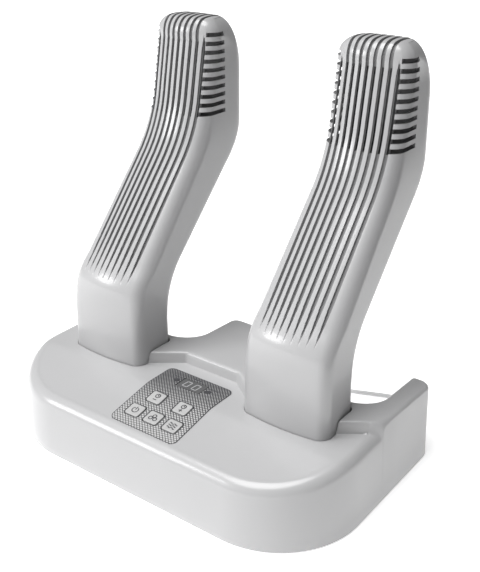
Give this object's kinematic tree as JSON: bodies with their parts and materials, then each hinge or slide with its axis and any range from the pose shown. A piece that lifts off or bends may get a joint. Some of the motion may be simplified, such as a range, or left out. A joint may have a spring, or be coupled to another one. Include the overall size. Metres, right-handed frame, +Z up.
{
  "type": "boot dryer",
  "caption": "Heated boot dryer: rounded blower base with a sloping key panel and bent, ribbed, slotted hollow arms that warm upturned boots.",
  "frame": {"origin": "on the floor, under the centre of the dryer's box without its lead", "axes": "+X to the dryer's right as seen by someone facing the key panel from the front, +Y from the key panel towards the rear, +Z up"},
  "size_m": [0.322, 0.281, 0.337],
  "materials": {
    "shell_plastic": "glossy moulded, light grey",
    "under_plastic": "fine moulded texture",
    "foot_rubber": "matte",
    "screw_steel": "plated",
    "panel_film": "printed film with a fine dark mesh pattern",
    "key_plastic": "satin",
    "window_film": "smoked",
    "lamp_resin": "smoked",
    "board": "coated board",
    "dark_plastic": "moulded",
    "duct_plastic": "heat resistant moulded",
    "heater_block": "finned",
    "motor_can": "zinc plated",
    "filter_foam": "open foam",
    "lead_sheath": "soft sheath, light grey"
  },
  "bodies": {
    "housing": {"base_shell": "shell_plastic", "bottom_plate": "under_plastic", "rubber_feet": "foot_rubber", "base_screws": "screw_steel", "intake_grille": "under_plastic", "dust_filter": "filter_foam", "panel_overlay": "panel_film", "display_window": "window_film", "display_module": "dark_plastic", "indicator_lamps": "lamp_resin", "keypad_board": "board", "main_board": "board", "blower_housing": "dark_plastic", "blower_lid": "dark_plastic", "motor": "motor_can", "air_manifold": "duct_plastic", "heater_left": "heater_block", "heater_right": "heater_block", "thermal_cutout": "screw_steel", "ozone_cell": "duct_plastic", "inner_wiring": "dark_plastic", "arm_left": "shell_plastic", "arm_right": "shell_plastic", "arm_back_left": "shell_plastic", "arm_back_right": "shell_plastic", "arm_screws": "screw_steel", "cord_clamp": "under_plastic", "strain_relief": "lead_sheath", "power_cord": "lead_sheath", "cord_coil": "lead_sheath", "cord_tail": "lead_sheath", "cord_tie": "dark_plastic", "mains_plug": "lead_sheath"},
    "impeller": {"impeller": "dark_plastic"},
    "key_time_down": {"key_time_down": "key_plastic"},
    "key_time_up": {"key_time_up": "key_plastic"},
    "key_power": {"key_power": "key_plastic"},
    "key_ozone": {"key_ozone": "key_plastic"},
    "key_drying": {"key_drying": "key_plastic"}
  },
  "joints": [
    {"name": "key_time_down_press", "type": "slide", "parent": "housing", "child": "key_time_down", "axis": [0, 0.1909, -0.9816], "range_m": [0, 0.0006], "stiffness_N_per_m": 800, "springref_m": -0.0004},
    {"name": "key_time_up_press", "type": "slide", "parent": "housing", "child": "key_time_up", "axis": [0, 0.1909, -0.9816], "range_m": [0, 0.0006], "stiffness_N_per_m": 800, "springref_m": -0.0004},
    {"name": "key_power_press", "type": "slide", "parent": "housing", "child": "key_power", "axis": [0, 0.1909, -0.9816], "range_m": [0, 0.0006], "stiffness_N_per_m": 800, "springref_m": -0.0004},
    {"name": "key_ozone_press", "type": "slide", "parent": "housing", "child": "key_ozone", "axis": [0, 0.1909, -0.9816], "range_m": [0, 0.0006], "stiffness_N_per_m": 800, "springref_m": -0.0004},
    {"name": "key_drying_press", "type": "slide", "parent": "housing", "child": "key_drying", "axis": [0, 0.1909, -0.9816], "range_m": [0, 0.0006], "stiffness_N_per_m": 800, "springref_m": -0.0004},
    {"name": "impeller_spin", "type": "hinge", "parent": "housing", "child": "impeller", "pos_m": [0, -0.074, 0.022], "axis": [0, 0, 1], "continuous": true}
  ]
}
